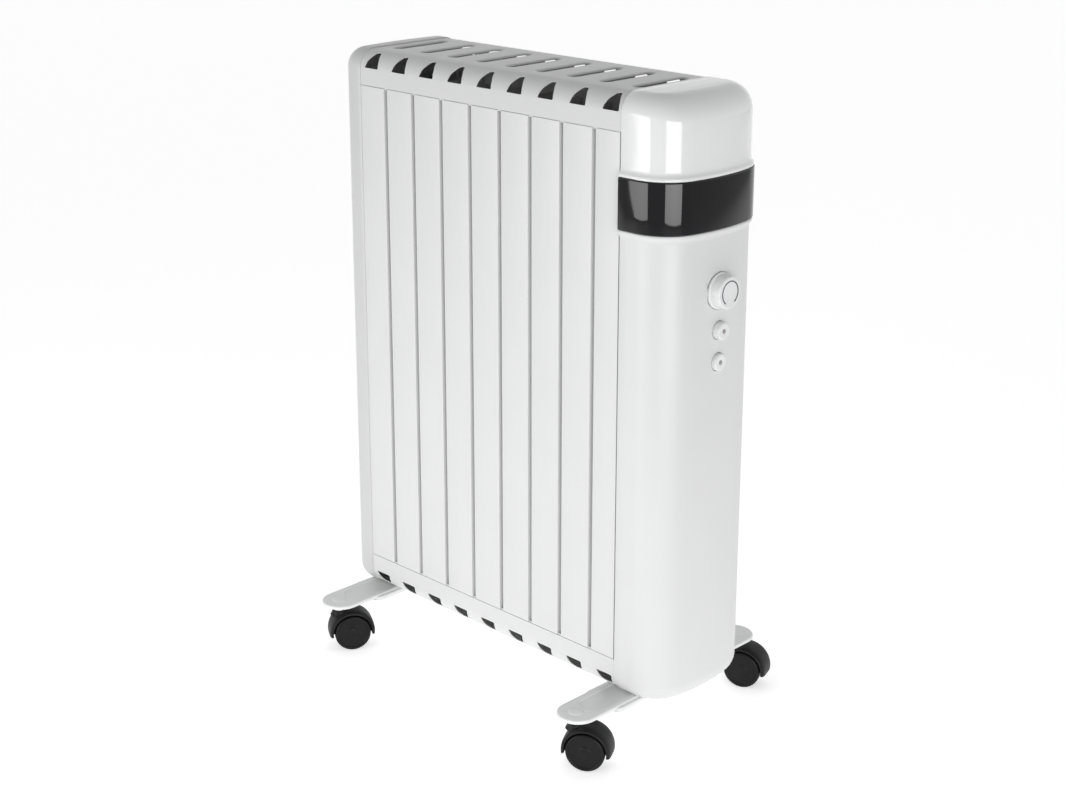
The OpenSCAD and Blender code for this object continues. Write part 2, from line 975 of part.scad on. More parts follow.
module control_bracket() {
    half = 44;
    low = lower_button_z - 22;
    high = knob_z + 26;
    color(steel)
        difference() {
            union() {
                box([bracket_x, -half, low], [bracket_face, half, high]);
                for (side = [-1, 1])
                    translate([plate_right_x + plate, side * (half - plate / 2) - plate / 2, low])
                        cube([bracket_x - plate_right_x - plate + eps, plate, high - low]);
            }
            rod_x([bracket_x - 1, 0, knob_z], spindle_r + 1, 5);
        }
}

module thermostat_body() {
    half = 14;
    bush_end = seat_x - 1;
    color(dark_grey)
        difference() {
            union() {
                box([bracket_face, -half, knob_z - half], [bracket_face + 13, half, knob_z + half]);
                rod_x([bracket_face + 13 - eps, 0, knob_z], 5, bush_end - bracket_face - 13);
            }
            rod_x([bracket_face + 3, 0, knob_z], spindle_r + running, 40);
        }
}

module thermostat_spindle() {
    start = bracket_face + 4;
    color(steel)
        rod_x([start, 0, knob_z], spindle_r, apex + knob_out - 4 - start);
}

// Knob profile, drawn as 2D (radius, height above its back face)
module knob_profile() {
    edge_r = 3;
    face_r = knob_r - 2.6;
    polygon([
        [0, 0],
        [knob_r, 0],
        [knob_r, 2.5],
        [face_r, knob_length - edge_r],
        [face_r - edge_r, knob_length],
        [0, knob_length]
    ]);
    translate([face_r - edge_r, knob_length - edge_r])
        circle(edge_r);
}

// The C-shaped mark, open downwards, drawn about the +X axis at the knob's face
module mark_ring(depth) {
    opening = 70;
    translate([apex + knob_out - depth, 0, knob_z])
        rotate([0, 90, 0])
            rotate([0, 0, opening / 2])
                rotate_extrude(angle = 360 - opening)
                    translate([mark_r - mark_width / 2, 0])
                        square([mark_width, depth]);
}

module thermostat_knob() {
    color(white)
        difference() {
            translate([knob_back, 0, knob_z])
                rotate([0, 90, 0])
                    rotate_extrude()
                        intersection() {
                            knob_profile();
                            square(100);
                        }
            mark_ring(mark_depth);
            rod_x([knob_back - 1, 0, knob_z], spindle_r, knob_length - 4 + 1);
        }
}

module knob_mark() {
    color(dark_grey)
        mark_ring(mark_depth);
}

module switch_body(z) {
    half = 9.5;
    front = apex - 13.5;
    color(dark_grey)
        difference() {
            box([bracket_face, -half, z - half], [front, half, z + half]);
            rod_x([plunger_end - 6, 0, z], plunger_r + 0.35, 20);
        }
}

module button(z, out) {
    flange_x0 = apex - 8;
    edge = 1.2;
    color(white)
        difference() {
            union() {
                rod_x([flange_x0, 0, z], button_r, 8 + out - edge);
                translate([apex + out - edge - eps, 0, z])
                    rotate([0, 90, 0])
                        cylinder(r1 = button_r, r2 = button_r - edge, h = edge + eps);
                rod_x([flange_x0, 0, z], button_r + 1.5, 2);
                rod_x([plunger_end, 0, z], plunger_r, flange_x0 - plunger_end + eps);
            }
            rod_x([apex + out - lens_depth, 0, z], lens_r, 5);
        }
}

module lens(z, out) {
    color(matte_black)
        rod_x([apex + out - lens_depth, 0, z], lens_r, lens_depth + 0.2);
}

module thermal_cutout() {
    z = gallery_low_z + 62;
    x = plate_right_x + plate;
    color(dark_grey) {
        rod_x([x, 0, z], 8, 5);
        rod_x([x + 5 - eps, 0, z], 6, 6);
        for (side = [-1, 1])
            box([x + 2, side * 11 - 2.5, z - 2], [x + 3, side * 11 + 2.5, z + 2]);
        box([x + 2, -9, z - 2], [x + 3, 9, z + 2]);
    }
}

module tip_switch() {
    x = plate_right_x + plate;
    color(matte_black) {
        box([x, -48, 180], [x + 14, -24, 214]);
        rod_x([x + 14 - eps, -36, 197], 7, 3);
    }
}

module terminal_block() {
    x = plate_right_x + plate;
    low_z = 262;
    color(brass)
        difference() {
            box([x, -21, low_z], [x + 12, 21, low_z + 18]);
            for (y = [-14, 0, 14]) {
                translate([x + 6, y, low_z - 1])
                    cylinder(r = 2, h = 20);
                rod_x([x + 6, y, low_z + 9], 2.4, 8);
            }
        }
}

// Cord gland in the housing's rear wall, with a nut inside and a flange outside
module cable_gland() {
    flange_h = 5;
    nut_h = 4;
    inner_y = cover_half - shell - 0.1 - nut_h;
    color(matte_black)
        difference() {
            union() {
                rod_y([gland_x, cover_half + 0.1, gland_z], gland_flange_r, flange_h);
                rod_y([gland_x, inner_y - 3, gland_z], gland_thread_r, nut_h + shell + 5);
                rod_y([gland_x, inner_y, gland_z], gland_flange_r, nut_h);
            }
            rod_y([gland_x, inner_y - 5, gland_z], gland_bore_r, 25);
        }
}

module wiring_loom() {
    back = plate_right_x + plate;
    wire_r = 1.4;
    run_x = back + 8;
    switch_x = bracket_x - 2;
    $fn = 16;
    color(matte_black) {
        wire([[run_x, 14, 282], [run_x, 14, 340], [switch_x, 20, 370], [switch_x, 20, 430]], wire_r);
        wire([[run_x, 0, 282], [run_x, 0, 330], [switch_x, 6, 372], [switch_x, 6, 378]], wire_r);
        wire([[run_x, -14, 282], [run_x, -14, 350], [switch_x, -8, 380], [switch_x, -8, 410]], wire_r);
        wire([[run_x, 14, 260], [run_x, 18, 235], [run_x, 18, 150], [run_x + 2, 14, 130]], wire_r);
        wire([[run_x, -14, 260], [run_x, -14, 235], [run_x, -18, 230], [run_x + 2, -18, 160]], wire_r);
    }
}

// ---------- parts ----------

end_cover_left();
control_housing();
control_cap();
control_band();
top_grille();
bottom_grille();
for (i = [1:fin_count])
    fin(i);
gallery_plugs();
heater_flange();
flange_bolts();
heating_element();
end_plate_left();
end_plate_right();
foot_left();
foot_right();
casing_screws();
control_bracket();
thermostat_body();
thermostat_spindle();
thermostat_knob();
knob_mark();
switch_body(upper_button_z);  // upper_switch
switch_body(lower_button_z);  // lower_switch
button(upper_button_z, upper_button_out);  // upper_button
button(lower_button_z, lower_button_out);  // lower_button
lens(upper_button_z, upper_button_out);  // upper_lens
lens(lower_button_z, lower_button_out);  // lower_lens
thermal_cutout();
tip_switch();
terminal_block();
cable_gland();
wiring_loom();
for (i = [0:3]) {
    stem(i);
    hood(i);
    axle(i);
    wheel(i, -1);
    wheel(i, 1);
}
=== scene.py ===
import json
import math

import bmesh
import bpy
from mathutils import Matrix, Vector
from mathutils.geometry import delaunay_2d_cdt


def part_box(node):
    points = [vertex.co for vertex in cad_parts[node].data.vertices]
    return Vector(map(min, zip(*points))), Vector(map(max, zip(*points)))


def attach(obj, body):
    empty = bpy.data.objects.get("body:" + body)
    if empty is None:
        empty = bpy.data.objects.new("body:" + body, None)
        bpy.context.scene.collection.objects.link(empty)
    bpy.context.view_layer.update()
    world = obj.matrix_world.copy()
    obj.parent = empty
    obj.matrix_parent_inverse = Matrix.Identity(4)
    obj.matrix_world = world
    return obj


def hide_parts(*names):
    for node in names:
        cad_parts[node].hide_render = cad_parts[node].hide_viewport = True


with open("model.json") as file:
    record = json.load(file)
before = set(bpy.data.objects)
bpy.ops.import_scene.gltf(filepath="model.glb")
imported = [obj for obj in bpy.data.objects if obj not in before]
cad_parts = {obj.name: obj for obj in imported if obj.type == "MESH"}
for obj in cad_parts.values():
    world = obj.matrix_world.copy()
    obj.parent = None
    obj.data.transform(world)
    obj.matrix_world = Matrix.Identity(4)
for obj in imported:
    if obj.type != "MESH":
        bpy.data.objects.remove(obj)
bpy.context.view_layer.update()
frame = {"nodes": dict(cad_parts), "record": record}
scene = bpy.context.scene

# ---------- sizes, in metres ----------
# Counts, radii, steps, thicknesses and half sizes. Places come from the frame's boxes, below.

FINS = 9
PITCH = 0.040
GAP = 0.0003
SHEET = 0.0008
PANEL_RADIUS = 0.019
SLOT_HALF_WIDTH = 0.005
SLOT_HALF_LENGTH = 0.0345
SHELL = 0.0022
COVER_EDGE = 0.020
END_RADIUS = 0.190
END_CORNER = 0.038
LEFT_RADIUS = 0.340
LEFT_CORNER = 0.0205
BAND_PROUD = 0.0034
LIP = 0.0018
KNOB_R = 0.017
KNOB_ZONE = 0.021
BUTTON_R = 0.0082
BUTTON_ZONE = 0.013
FOOT_HALF = 0.0200
FOOT_RIM = 0.0035
ROOT_HALF_WIDTH = 0.0235
ROOT_HALF = 0.0843
CHANNEL_HALF = 0.1063
TRAIL = 0.012
WHEEL_R = 0.019
CASTER_HALF = 0.0138


def low(node):
    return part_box(node)[0]


def high(node):
    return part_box(node)[1]


def middle(node):
    return (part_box(node)[0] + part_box(node)[1]) / 2


HALF = high("end_cover_left").y
SEAM_L = high("end_cover_left").x
LEFT_END = low("end_cover_left").x
SEAM_R = low("control_cap").x
APEX = high("control_cap").x - LIP
COVER_LOW = low("end_cover_left").z
COVER_HIGH = high("end_cover_left").z
CAP_HIGH = COVER_HIGH - 0.0001
PANEL_LOW = low("bottom_grille").z
PANEL_HIGH = high("top_grille").z
CORE_HALF = high("top_grille").y
SLAT_LOW = low("fin_5").z
SLAT_HIGH = high("fin_5").z
BAND_LOW = low("control_band").z
BAND_HIGH = high("control_band").z
KNOB_Z = middle("thermostat_knob").z
UPPER_Z = middle("upper_button").z
LOWER_Z = middle("lower_button").z
ROW_X = middle("fin_5").x - 4.5 * PITCH
CORNERS = ("front_left", "front_right", "rear_left", "rear_right")

# ---------- materials ----------


def material(
    name,
    colour,
    roughness,
    tone=0.03,
    spread=0.05,
    peel=0.0,
    peel_scale=420,
    grain=0.0,
    grain_scale=2600,
    stretch=(1, 1, 1),
    metallic=0.0,
    coat=0.0,
    specular=0.5,
):
    """A surface with uneven tone and gloss, orange peel and grain. peel and grain are depths in metres."""
    made = bpy.data.materials.new(name)
    made.use_nodes = True
    nodes = made.node_tree.nodes
    links = made.node_tree.links
    shader = nodes["Principled BSDF"]
    shader.inputs["Metallic"].default_value = metallic
    shader.inputs["Specular IOR Level"].default_value = specular
    shader.inputs["Coat Weight"].default_value = coat
    shader.inputs["Coat Roughness"].default_value = 0.04
    place = nodes.new("ShaderNodeTexCoord")
    scale = nodes.new("ShaderNodeMapping")
    scale.inputs["Scale"].default_value = stretch
    links.new(place.outputs["Object"], scale.inputs["Vector"])

    def noise(size, detail):
        made_noise = nodes.new("ShaderNodeTexNoise")
        made_noise.inputs["Scale"].default_value = size
        made_noise.inputs["Detail"].default_value = detail
        links.new(scale.outputs["Vector"], made_noise.inputs["Vector"])
        return made_noise.outputs["Fac"]

    ramp = nodes.new("ShaderNodeValToRGB")
    ramp.color_ramp.elements[0].position = 0.3
    ramp.color_ramp.elements[1].position = 0.7
    ramp.color_ramp.elements[0].color = [c * (1 - tone) for c in colour] + [1]
    ramp.color_ramp.elements[1].color = [min(c * (1 + tone), 1) for c in colour] + [1]
    links.new(noise(14, 6), ramp.inputs["Fac"])
    links.new(ramp.outputs["Color"], shader.inputs["Base Color"])
    gloss = nodes.new("ShaderNodeMapRange")
    gloss.inputs["From Min"].default_value = 0.3
    gloss.inputs["From Max"].default_value = 0.7
    gloss.inputs["To Min"].default_value = max(roughness - spread, 0.02)
    gloss.inputs["To Max"].default_value = roughness + spread
    links.new(noise(55, 4), gloss.inputs["Value"])
    links.new(gloss.outputs["Result"], shader.inputs["Roughness"])
    normal = None
    for depth, size, detail in ((peel, peel_scale, 2), (grain, grain_scale, 3)):
        if depth > 0:
            bump = nodes.new("ShaderNodeBump")
            bump.inputs["Strength"].default_value = 1
            bump.inputs["Distance"].default_value = depth
            links.new(noise(size, detail), bump.inputs["Height"])
            if normal:
                links.new(normal, bump.inputs["Normal"])
            normal = bump.outputs["Normal"]
    if normal:
        links.new(normal, shader.inputs["Normal"])
    return made


enamel = material(
    "white_enamel", (0.67, 0.675, 0.67), 0.36, tone=0.012, spread=0.02, peel=0.000016, grain=0.000006
)
# painted shade: the left cover is a darker copy of the white enamel, for the shade on the cover
cover = material(
    "cover_shaded_enamel",
    (0.58, 0.585, 0.58),
    0.35,
    tone=0.01,
    spread=0.02,
    peel=0.000008,
    grain=0.000012,
    grain_scale=3000,
)
# painted shade: the top panel is a darker copy of the fins' white enamel, for the shade on its top; the
# bottom panel uses the white itself
top_panel_shaded_coat = material(
    "top_panel_shaded_enamel", (0.63, 0.635, 0.63), 0.38, tone=0.012, spread=0.02, peel=0.000016, grain=0.00001
)
satin = material(
    "satin_plastic",
    (0.67, 0.675, 0.67),
    0.34,
    tone=0.01,
    spread=0.02,
    peel=0.000008,
    grain=0.000014,
    grain_scale=3400,
)
glossy = material(
    "gloss_plastic", (0.78, 0.785, 0.78), 0.12, tone=0.008, spread=0.015, peel=0.000006, coat=0.3
)
knob_white = material("knob_plastic", (0.75, 0.755, 0.755), 0.3, tone=0.015, grain=0.00002, grain_scale=3400)
band_black = material("band_gloss", (0.004, 0.004, 0.005), 0.05, tone=0.2, spread=0.01, peel=0.000003)
foot_coat = material(
    "foot_enamel", (0.80, 0.805, 0.80), 0.33, tone=0.015, spread=0.03, peel=0.000022, grain=0.00001
)
caster_black = material(
    "caster_nylon", (0.006, 0.006, 0.0065), 0.47, tone=0.2, grain=0.00007, grain_scale=1500, specular=0.24
)
tread = material(
    "wheel_nylon", (0.005, 0.005, 0.0054), 0.42, tone=0.25, grain=0.00005, grain_scale=1200, specular=0.22
)
zinc = material(
    "zinc_steel", (0.62, 0.63, 0.65), 0.32, tone=0.08, grain=0.00002, stretch=(1, 1, 6), metallic=1.0
)
heater = material("heater_sheath", (0.16, 0.15, 0.14), 0.45, tone=0.2, grain=0.00003, metallic=0.8)
dark_plastic = material("dark_plastic", (0.05, 0.05, 0.053), 0.45, tone=0.1, grain=0.00004)
brass = material("brass", (0.75, 0.55, 0.24), 0.3, tone=0.08, grain=0.00002, metallic=1.0)
wire = material("wire_sleeve", (0.10, 0.10, 0.11), 0.5, tone=0.25, grain=0.00003)
mark_grey = material("mark_ink", (0.10, 0.10, 0.105), 0.4, tone=0.15, grain=0.00002)
lens_dark = material("lens_smoke", (0.30, 0.29, 0.28), 0.14, tone=0.1, peel=0.00001, coat=0.5)

# looks of the CAD's own pieces: zinc steel, unless named here
NODE_LOOK = {
    "heating_element": heater,
    "thermostat_body": dark_plastic,
    "upper_switch": dark_plastic,
    "lower_switch": dark_plastic,
    "tip_switch": dark_plastic,
    "terminal_block": dark_plastic,
    "cable_gland": caster_black,
    "wiring_loom": wire,
    "thermal_cutout": brass,
}
for name, obj in frame["nodes"].items():
    look = NODE_LOOK.get(name, zinc)
    for slot in obj.material_slots:
        slot.material = look

# ---------- mesh tools ----------


class Shape:
    """Collects the faces of one piece."""

    def __init__(self):
        self.points = []
        self.faces = []

    def add(self, points):
        start = len(self.points)
        self.points.extend(points)
        return list(range(start, start + len(points)))

    def face(self, points):
        self.faces.append(self.add(points))

    def grid(self, rows, close=False):
        """Quads between rows of the same number of points."""
        rows = [self.add(row) for row in rows]
        size = len(rows[0])
        for a, b in zip(rows, rows[1:]):
            for i in range(size if close else size - 1):
                j = (i + 1) % size
                self.faces.append([a[i], a[j], b[j], b[i]])

    def ladder(self, row):
        """Closes a flat outline whose first half mirrors its second half."""
        row = self.add(row)
        last = len(row) - 1
        for i in range(len(row) // 2):
            if i + 1 < last - i - 1:
                self.faces.append([row[i], row[i + 1], row[last - i - 1], row[last - i]])
            elif i + 1 == last - i - 1:
                self.faces.append([row[i], row[i + 1], row[last - i]])

    def lathe(self, centre, axis, profile, count=64):
        """Turns (radius, height) points about an axis through centre."""
        axis = Vector(axis).normalized()
        side = axis.orthogonal().normalized()
        other = axis.cross(side)
        rows = []
        for radius, height in profile:
            row = []
            for k in range(count):
                a = math.tau * k / count
                row.append(centre + axis * height + (side * math.cos(a) + other * math.sin(a)) * radius)
            rows.append(row)
        self.grid(rows, close=True)

    def finish(self, name, look, body, nodes=(), thick=0.0, bevel=0.0, sharp=38):
        """Makes the piece with its look, gives sheets their thickness, ties it to its body and hides its CAD
        nodes.
        """
        bm = bmesh.new()
        made = [bm.verts.new(p) for p in self.points]
        for face in self.faces:
            bm.faces.new([made[i] for i in face])
        bmesh.ops.remove_doubles(bm, verts=bm.verts[:], dist=0.00001)
        bmesh.ops.dissolve_degenerate(bm, edges=bm.edges[:], dist=0.000005)
        bmesh.ops.recalc_face_normals(bm, faces=bm.faces[:])
        mesh = bpy.data.meshes.new(name)
        bm.to_mesh(mesh)
        bm.free()
        mesh.materials.append(look)
        obj = bpy.data.objects.new(name, mesh)
        scene.collection.objects.link(obj)
        if thick:
            solid = obj.modifiers.new("thickness", "SOLIDIFY")
            solid.thickness = thick
            solid.offset = -1
        if bevel:
            edge = obj.modifiers.new("edges", "BEVEL")
            edge.width = bevel
            edge.segments = 2
            edge.limit_method = "ANGLE"
            edge.angle_limit = math.radians(50)
        if thick or bevel:
            bpy.context.view_layer.update()
            whole = obj.evaluated_get(bpy.context.evaluated_depsgraph_get())
            mesh = bpy.data.meshes.new_from_object(whole)
            obj.modifiers.clear()
            obj.data = mesh
        for polygon in mesh.polygons:
            polygon.use_smooth = True
        mesh.set_sharp_from_angle(angle=math.radians(sharp))
        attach(obj, body)
        if nodes:
            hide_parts(*nodes)


def steps(start, stop, size):
    """Evenly spaced values from start to stop, about size apart."""
    count = max(1, round(abs(stop - start) / size))
    return [start + (stop - start) * k / count for k in range(count + 1)]


def joined(*parts):
    """Sorted values without repeats."""
    values = sorted(v for part in parts for v in part)
    kept = [values[0]]
    for v in values[1:]:
        if v - kept[-1] > 0.00002:
            kept.append(v)
    return kept


def smooth(t):
    """Eases from 0 to 1."""
    t = min(max(t, 0), 1)
    return t * t * (3 - 2 * t)


def quarter(radius, count=12):
    """(run, rise) along a quarter circle that starts upright and ends level."""
    made = []
    for k in range(count + 1):
        a = math.pi / 2 * k / count
        made.append((radius * (1 - math.cos(a)), radius * math.sin(a)))
    return made


def border_of(us, vs):
    """The points around a grid's rim, in order."""
    border = [(u, vs[0]) for u in us[:-1]] + [(us[-1], v) for v in vs[:-1]]
    border += [(u, vs[-1]) for u in reversed(us[1:])] + [(us[0], v) for v in reversed(vs[1:])]
    return border


def holed(shape, columns, rows, holes, place):
    """A grid with a shaped hole in some rectangles.

    holes: (left, right, bottom, top, centre, edge), where edge(way) is the hole's reach from its centre."""
    for u0, u1 in zip(columns, columns[1:]):
        for v0, v1 in zip(rows, rows[1:]):
            u, v = (u0 + u1) / 2, (v0 + v1) / 2
            if not any(h[0] < u < h[1] and h[2] < v < h[3] for h in holes):
                shape.face([place(u0, v0), place(u1, v0), place(u1, v1), place(u0, v1)])
    for left, right, bottom, top, centre, edge in holes:
        us = [u for u in columns if left - 0.00002 < u < right + 0.00002]
        vs = [v for v in rows if bottom - 0.00002 < v < top + 0.00002]
        border = border_of(us, vs)
        rings = []
        for t in (0, 0.25, 0.5, 0.72, 0.88, 0.96, 1):
            ring = []
            for u, v in border:
                way = Vector((u - centre[0], v - centre[1]))
                reach = edge(way.normalized())
                spot = Vector(centre) + way.normalized() * (way.length * (1 - t) + reach * t)
                ring.append(place(spot.x, spot.y))
            rings.append(ring)
        shape.grid(rings, close=True)


# ---------- plans of the casing ends ----------

big_x = APEX - END_RADIUS
corner_y = HALF - END_CORNER
corner_x = big_x + math.sqrt((END_RADIUS - END_CORNER) ** 2 - corner_y**2)
corner_turn = math.atan2(corner_y, corner_x - big_x)
broad = END_RADIUS * corner_turn
bend = END_CORNER * (math.pi / 2 - corner_turn)
straight = corner_x - SEAM_R
control_reach = broad + bend + straight


def control_at(s):
    """Point and outward normal on the control end's plan; s = 0 is its middle."""
    side = -1 if s < 0 else 1
    t = abs(s)
    if t <= broad:
        a = t / END_RADIUS
        x, y = big_x + END_RADIUS * math.cos(a), END_RADIUS * math.sin(a)
    elif t <= broad + bend:
        a = corner_turn + (t - broad) / END_CORNER
        x, y = corner_x + END_CORNER * math.cos(a), corner_y + END_CORNER * math.sin(a)
    else:
        a = math.pi / 2
        x, y = corner_x - (t - broad - bend), HALF
    return Vector((x, side * y)), Vector((math.cos(a), side * math.sin(a)))


left_big_x = LEFT_END + LEFT_RADIUS
left_corner_y = HALF - LEFT_CORNER
left_corner_x = left_big_x - math.sqrt((LEFT_RADIUS - LEFT_CORNER) ** 2 - left_corner_y**2)
left_turn = math.atan2(left_corner_y, left_big_x - left_corner_x)
left_broad = LEFT_RADIUS * left_turn
left_bend = LEFT_CORNER * (math.pi / 2 - left_turn)
left_reach = left_broad + left_bend + SEAM_L - left_corner_x


def left_at(s):
    """Point and outward normal on the left cover's plan; s = 0 is its middle."""
    side = -1 if s < 0 else 1
    t = abs(s)
    if t <= left_broad:
        a = t / LEFT_RADIUS
        x, y = left_big_x - LEFT_RADIUS * math.cos(a), LEFT_RADIUS * math.sin(a)
    elif t <= left_broad + left_bend:
        a = left_turn + (t - left_broad) / LEFT_CORNER
        x, y = left_corner_x - LEFT_CORNER * math.cos(a), left_corner_y + LEFT_CORNER * math.sin(a)
    else:
        a = math.pi / 2
        x, y = left_corner_x + (t - left_broad - left_bend), HALF
    return Vector((x, side * y)), Vector((-math.cos(a), side * math.sin(a)))


def on_wall(plan, s, inset, z):
    """The point at s on a plan, moved in by inset, at height z."""
    point, normal = plan(s)
    flat = point - normal * inset
    return Vector((flat.x, flat.y, z))


def mirrored(values):
    return joined([-v for v in values], values)


# lines up the walls; some of them fall on the sides of the knob's and the buttons' zones
control_lines = mirrored(
    joined(
        [0.001 + 0.002 * k for k in range(11)],
        steps(KNOB_ZONE, broad, 0.004),
        steps(broad, broad + bend, 0.0024),
        steps(broad + bend, control_reach, 0.010),
    )
)
left_lines = mirrored(
    joined(
        steps(0, left_broad, 0.005),
        steps(left_broad, left_broad + left_bend, 0.0018),
        steps(left_broad + left_bend, left_reach, 0.006),
    )
)
# the bead beside the band: (distance from the band, how far it stands proud), in millimetres
BEAD = ((0, 2.2), (0.4, 2.6), (1.5, 2.8), (2.6, 2.6), (3.6, 1.9), (4.8, 0.9), (6.5, 0.2), (8.5, 0))


def at(value, s):
    """A number, or what a function of s gives."""
    return value(s) if callable(value) else value


def row_of(plan, lines, inset, z):
    """A row of points around a plan; inset and z are numbers or functions of s."""
    return [on_wall(plan, s, at(inset, s), at(z, s)) for s in lines]


# ---------- control housing, cap and band ----------


def control_housing():
    shape = Shape()
    edge = 0.0205
    wall_low = COVER_LOW + edge
    wall_high = BAND_LOW - GAP - BEAD[-1][0] * 0.001

    def place(s, z):
        return on_wall(control_at, s, 0, z)

    seat = KNOB_R + 0.0009
    bore = BUTTON_R + 0.0011
    holes = [(-KNOB_ZONE, KNOB_ZONE, KNOB_Z - KNOB_ZONE, KNOB_Z + KNOB_ZONE, (0, KNOB_Z), lambda way: seat)]
    for z in (UPPER_Z, LOWER_Z):
        holes.append((-BUTTON_ZONE, BUTTON_ZONE, z - BUTTON_ZONE, z + BUTTON_ZONE, (0, z), lambda way: bore))
    rows = joined(
        steps(wall_low, LOWER_Z - BUTTON_ZONE, 0.03),
        steps(LOWER_Z - BUTTON_ZONE, LOWER_Z + BUTTON_ZONE, 0.002),
        steps(UPPER_Z - BUTTON_ZONE, UPPER_Z + BUTTON_ZONE, 0.002),
        steps(KNOB_Z - KNOB_ZONE, KNOB_Z + KNOB_ZONE, 0.002),
        [wall_high],
    )
    holed(shape, control_lines, rows, holes, place)

    def recess(z, half, steps_in, floor_x):
        """Turns in from a round opening; floor_x closes it, and None leaves it open."""
        us = [u for u in control_lines if abs(u) < half + 0.0001]
        vs = [v for v in rows if abs(v - z) < half + 0.0001]
        ways = [Vector((u, v - z)).normalized() for u, v in border_of(us, vs)]
        rings = []
        for radius, depth in steps_in:
            rings.append([on_wall(control_at, w.x * radius, depth, z + w.y * radius) for w in ways])
        if floor_x is not None:
            for shrink in (1, 0.5, 0.02):
                reach = steps_in[-1][0] * shrink
                rings.append([Vector((floor_x, w.x * reach, z + w.y * reach)) for w in ways])
        shape.grid(rings, close=True)
        if floor_x is not None:
            shape.face(rings[-1])

    seat_edge = [(seat, 0), (seat - 0.0002, 0.00005), (seat - 0.0004, 0.0003), (seat - 0.0004, 0.0006)]
    recess(KNOB_Z, KNOB_ZONE, seat_edge, APEX - 0.0013)
    bore_edge = [(0, 0), (0.0003, 0.00008), (0.0005, 0.0003), (0.0007, 0.0012), (0.0007, 0.006)]
    for z in (UPPER_Z, LOWER_Z):
        recess(z, BUTTON_ZONE, [(bore - turn, depth) for turn, depth in bore_edge], None)
    # rounded bottom edge and floor
    rounded = [(run, COVER_LOW + edge - rise) for run, rise in quarter(edge)]
    shape.grid([row_of(control_at, control_lines, run, z) for run, z in rounded])
    shape.ladder(row_of(control_at, control_lines, edge, COVER_LOW))
    # bead under the band
    bead = [(-out * 0.001, BAND_LOW - GAP - down * 0.001) for down, out in reversed(BEAD)]
    bead += [(0.0005, BAND_LOW - GAP), (0.004, BAND_LOW - GAP)]
    shape.grid([row_of(control_at, control_lines, run, z) for run, z in bead])
    shape.finish(
        "housing_shell", satin, "heater", ["control_housing"], thick=SHELL, bevel=0.0003
    )


def cap_edge(s):
    """The cap's top edge is rounder at the end than at the seam."""
    along = (control_reach - abs(s)) / control_reach
    return COVER_EDGE + 0.0075 * smooth(along * 1.35 - 0.12)


def control_cap():
    shape = Shape()
    bottom = BAND_HIGH + GAP
    rows = [(lambda s: 0.004, lambda s: bottom), (lambda s: 0.0005, lambda s: bottom)]
    for up, out in BEAD:
        rows.append((lambda s, out=out: -out * 0.001, lambda s, up=up: bottom + up * 0.001))
    wall_low = bottom + BEAD[-1][0] * 0.001
    for t in (0.33, 0.66):
        rows.append((lambda s: 0, lambda s, t=t: wall_low + (CAP_HIGH - cap_edge(s) - wall_low) * t))
    for k in range(15):
        a = math.pi / 2 * k / 14
        rows.append(
            (
                lambda s, a=a: cap_edge(s) * (1 - math.cos(a)),
                lambda s, a=a: CAP_HIGH - cap_edge(s) * (1 - math.sin(a)),
            )
        )
    shape.grid([row_of(control_at, control_lines, inset, z) for inset, z in rows])
    shape.ladder(row_of(control_at, control_lines, cap_edge, CAP_HIGH))
    shape.finish("cap_shell", glossy, "heater", ["control_cap"], thick=SHELL, bevel=0.0003)


def control_band():
    shape = Shape()
    edge = 0.0011
    section = [(0.0022, BAND_LOW)]
    for run, rise in quarter(edge, 4):
        section.append((-BAND_PROUD + edge - rise, BAND_LOW + run))
    for run, rise in reversed(quarter(edge, 4)):
        section.append((-BAND_PROUD + edge - rise, BAND_HIGH - run))
    section.append((0.0022, BAND_HIGH))
    rows = []
    for s in control_lines:
        rows.append([on_wall(control_at, s, inset, z) for inset, z in section])
    shape.grid(rows, close=True)
    shape.face(rows[0])
    shape.face(rows[-1])
    shape.finish("band_sleeve", band_black, "heater", ["control_band"], bevel=0.0002)


# ---------- left cover ----------


def left_cover():
    shape = Shape()
    rows = []
    for run, rise in reversed(quarter(COVER_EDGE)):
        rows.append((run, COVER_LOW + COVER_EDGE - rise))
    for part in (0.2, 0.4, 0.6, 0.8):
        rows.append((0, COVER_LOW + COVER_EDGE + (COVER_HIGH - COVER_LOW - 2 * COVER_EDGE) * part))
    for run, rise in quarter(COVER_EDGE):
        rows.append((run, COVER_HIGH - COVER_EDGE + rise))
    shape.grid([row_of(left_at, left_lines, run, z) for run, z in rows])
    for z in (COVER_LOW, COVER_HIGH):
        shape.ladder(row_of(left_at, left_lines, COVER_EDGE, z))
    shape.finish(
        "left_cover_shell", cover, "heater", ["end_cover_left"], thick=SHELL, bevel=0.0009
    )


# ---------- vented panels ----------

# a vent's corners seen from the front, in millimetres: (distance from its slat's middle, height)
VENT = ((-10.6, 612.6), (9.6, 612.6), (8.4, 620.7), (5.0, 627.5), (-1.2, 627.3), (-7.3, 620.5))


def rounded_outline(points, times=3):
    """Cuts the corners of a closed outline."""
    points = [Vector(p) for p in points]
    for _ in range(times):
        cut = []
        for i, p in enumerate(points):
            q = points[(i + 1) % len(points)]
            reach = min(0.25, 0.9 / (q - p).length)
            cut += [p.lerp(q, reach), q.lerp(p, reach)]
        points = cut
    return points


def reach_to(outline, centre):
    """How far the outline is from centre in a direction."""

    def reach(way):
        best = None
        for i, p in enumerate(outline):
            q = outline[(i + 1) % len(outline)]
            a, b = p - centre, q - p
            across = way.x * b.y - way.y * b.x
            if abs(across) < 1e-12:
                continue
            t = (a.x * b.y - a.y * b.x) / across
            k = (a.x * way.y - a.y * way.x) / across
            if t > 0 and -1e-9 <= k <= 1 + 1e-9:
                best = t if best is None else min(best, t)
        return best

    return reach


